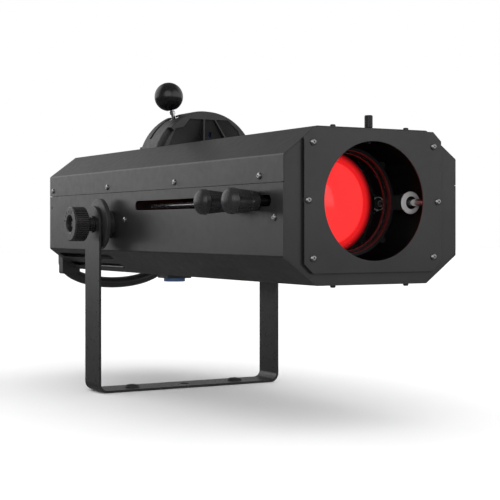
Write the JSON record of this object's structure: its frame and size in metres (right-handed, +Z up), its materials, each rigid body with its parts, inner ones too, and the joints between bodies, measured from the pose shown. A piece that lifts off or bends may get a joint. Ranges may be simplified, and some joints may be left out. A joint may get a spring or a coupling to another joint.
{
  "type": "led follow spot",
  "caption": "Long octagonal follow spot on a U-shaped yoke, with sliding lens carriages, a lever-worked iris, a colour wheel housing and a steering hoop at the rear.",
  "frame": {"origin": "centre of the hole in the yoke base, on the floor under it", "axes": "+Z up, -Y the way the light leaves, +X to the right seen from behind the light"},
  "size_m": [0.3324, 0.7017, 0.4077],
  "materials": {
    "body_coat": "satin",
    "yoke_coat": "satin",
    "black_screws": "satin",
    "bright_steel": "polished",
    "leaf_steel": "satin",
    "moulded_black": "satin",
    "knob_black": "satin",
    "ball_black": "gloss",
    "black_anodised": "matte",
    "lens_glass": "polished",
    "filter_glass": "polished",
    "white_bush": "satin",
    "bare_aluminium": "satin",
    "motor_shell": "satin",
    "circuit_board": "satin",
    "phosphor": "satin",
    "guard_coat": "satin",
    "socket_metal": "satin",
    "button_grey": "satin",
    "rocker_black": "gloss",
    "display_tint": "gloss",
    "inlet_blue": "satin"
  },
  "bodies": {
    "yoke": {"yoke": "yoke_coat", "yoke_plugs": "moulded_black", "yoke_washers": "bright_steel"},
    "housing": {"upper_cover": "body_coat", "lower_shell": "body_coat", "front_plate": "body_coat", "front_bulkhead": "body_coat", "rear_panel": "body_coat", "housing_trim": "body_coat", "rear_handle": "body_coat", "plate_spacers": "body_coat", "body_screws": "black_screws", "frame_screws": "black_screws", "plate_screws": "black_screws", "rear_panel_screws": "black_screws", "guide_rods": "bright_steel", "iris_leaves": "leaf_steel", "wheel_housing_front": "moulded_black", "wheel_housing_rear": "moulded_black", "pivot_discs": "moulded_black", "connector_pod": "moulded_black", "handle_mounts": "moulded_black", "fan_frame": "moulded_black", "switch_frame": "moulded_black", "mid_bulkhead": "black_anodised", "gate_bracket": "black_anodised", "iris_cassette": "black_anodised", "condenser_tube": "black_anodised", "condenser_lenses": "lens_glass", "heat_sink": "bare_aluminium", "led_driver": "bare_aluminium", "engine_bracket": "bare_aluminium", "wheel_motor": "motor_shell", "led_board": "circuit_board", "led_chip": "phosphor", "fan_guard": "guard_coat", "data_sockets": "socket_metal", "display_window": "display_tint", "mains_inlet": "inlet_blue"},
    "front_lens_carriage": {"front_carriage": "black_anodised", "front_lens": "lens_glass", "front_bushes": "white_bush"},
    "front_clamp": {"front_knob": "knob_black"},
    "rear_lens_carriage": {"rear_carriage": "black_anodised", "rear_lens": "lens_glass", "rear_bushes": "white_bush"},
    "rear_clamp": {"rear_knob": "knob_black"},
    "iris": {"iris_lever": "bright_steel", "lever_ball": "ball_black"},
    "colour_wheel": {"colour_wheel": "bare_aluminium", "colour_filters": "filter_glass"},
    "fan": {"fan_rotor": "moulded_black"},
    "menu_button_1": {"menu_button_1": "button_grey"},
    "menu_button_2": {"menu_button_2": "button_grey"},
    "menu_button_3": {"menu_button_3": "button_grey"},
    "menu_button_4": {"menu_button_4": "button_grey"},
    "switch": {"switch_rocker": "rocker_black"},
    "frame_clamp": {"thumb_screw": "black_screws"},
    "right_tilt_clamp": {"tilt_knob_right": "knob_black"},
    "left_tilt_clamp": {"tilt_knob_left": "knob_black"}
  },
  "joints": [
    {"name": "tilt", "type": "hinge", "parent": "yoke", "child": "housing", "pos_m": [0, 0, 0.2197], "axis": [1, 0, 0], "range_deg": [-50, 50]},
    {"name": "right_tilt_clamp_turn", "type": "hinge", "parent": "housing", "child": "right_tilt_clamp", "pos_m": [0.155, 0, 0.2197], "axis": [1, 0, 0], "range_deg": [0, 270]},
    {"name": "left_tilt_clamp_turn", "type": "hinge", "parent": "housing", "child": "left_tilt_clamp", "pos_m": [-0.155, 0, 0.2197], "axis": [1, 0, 0], "range_deg": [0, 270]},
    {"name": "front_lens_slide", "type": "slide", "parent": "housing", "child": "front_lens_carriage", "axis": [0, 1, 0], "range_m": [-0.022, 0.008]},
    {"name": "front_clamp_turn", "type": "hinge", "parent": "front_lens_carriage", "child": "front_clamp", "pos_m": [-0.13, -0.3945, 0.2425], "axis": [1, 0, 0], "range_deg": [0, 270]},
    {"name": "rear_lens_slide", "type": "slide", "parent": "housing", "child": "rear_lens_carriage", "axis": [0, 1, 0], "range_m": [-0.008, 0.235]},
    {"name": "rear_clamp_turn", "type": "hinge", "parent": "rear_lens_carriage", "child": "rear_clamp", "pos_m": [-0.13, -0.331, 0.2425], "axis": [1, 0, 0], "range_deg": [0, 270]},
    {"name": "iris_swing", "type": "hinge", "parent": "housing", "child": "iris", "pos_m": [0, -0.0295, 0.2425], "axis": [0, 1, 0], "range_deg": [-18.5, 47.5]},
    {"name": "colour_wheel_turn", "type": "hinge", "parent": "housing", "child": "colour_wheel", "pos_m": [0, -0.0185, 0.295], "axis": [0, 1, 0], "continuous": true},
    {"name": "fan_spin", "type": "hinge", "parent": "housing", "child": "fan", "pos_m": [0, 0.181, 0.236], "axis": [0, 1, 0], "continuous": true},
    {"name": "menu_button_1_press", "type": "slide", "parent": "housing", "child": "menu_button_1", "axis": [0, -1, 0], "range_m": [0, 0.001], "stiffness_N_per_m": 400},
    {"name": "menu_button_2_press", "type": "slide", "parent": "housing", "child": "menu_button_2", "axis": [0, -1, 0], "range_m": [0, 0.001], "stiffness_N_per_m": 400},
    {"name": "menu_button_3_press", "type": "slide", "parent": "housing", "child": "menu_button_3", "axis": [0, -1, 0], "range_m": [0, 0.001], "stiffness_N_per_m": 400},
    {"name": "menu_button_4_press", "type": "slide", "parent": "housing", "child": "menu_button_4", "axis": [0, -1, 0], "range_m": [0, 0.001], "stiffness_N_per_m": 400},
    {"name": "switch_rock", "type": "hinge", "parent": "housing", "child": "switch", "pos_m": [0.076, 0.222, 0.214], "axis": [0, 0, 1], "range_deg": [-10, 0]},
    {"name": "frame_clamp_turn", "type": "hinge", "parent": "housing", "child": "frame_clamp", "pos_m": [0, -0.4395, 0.3265], "axis": [0, 0, 1], "range_deg": [0, 360]}
  ]
}
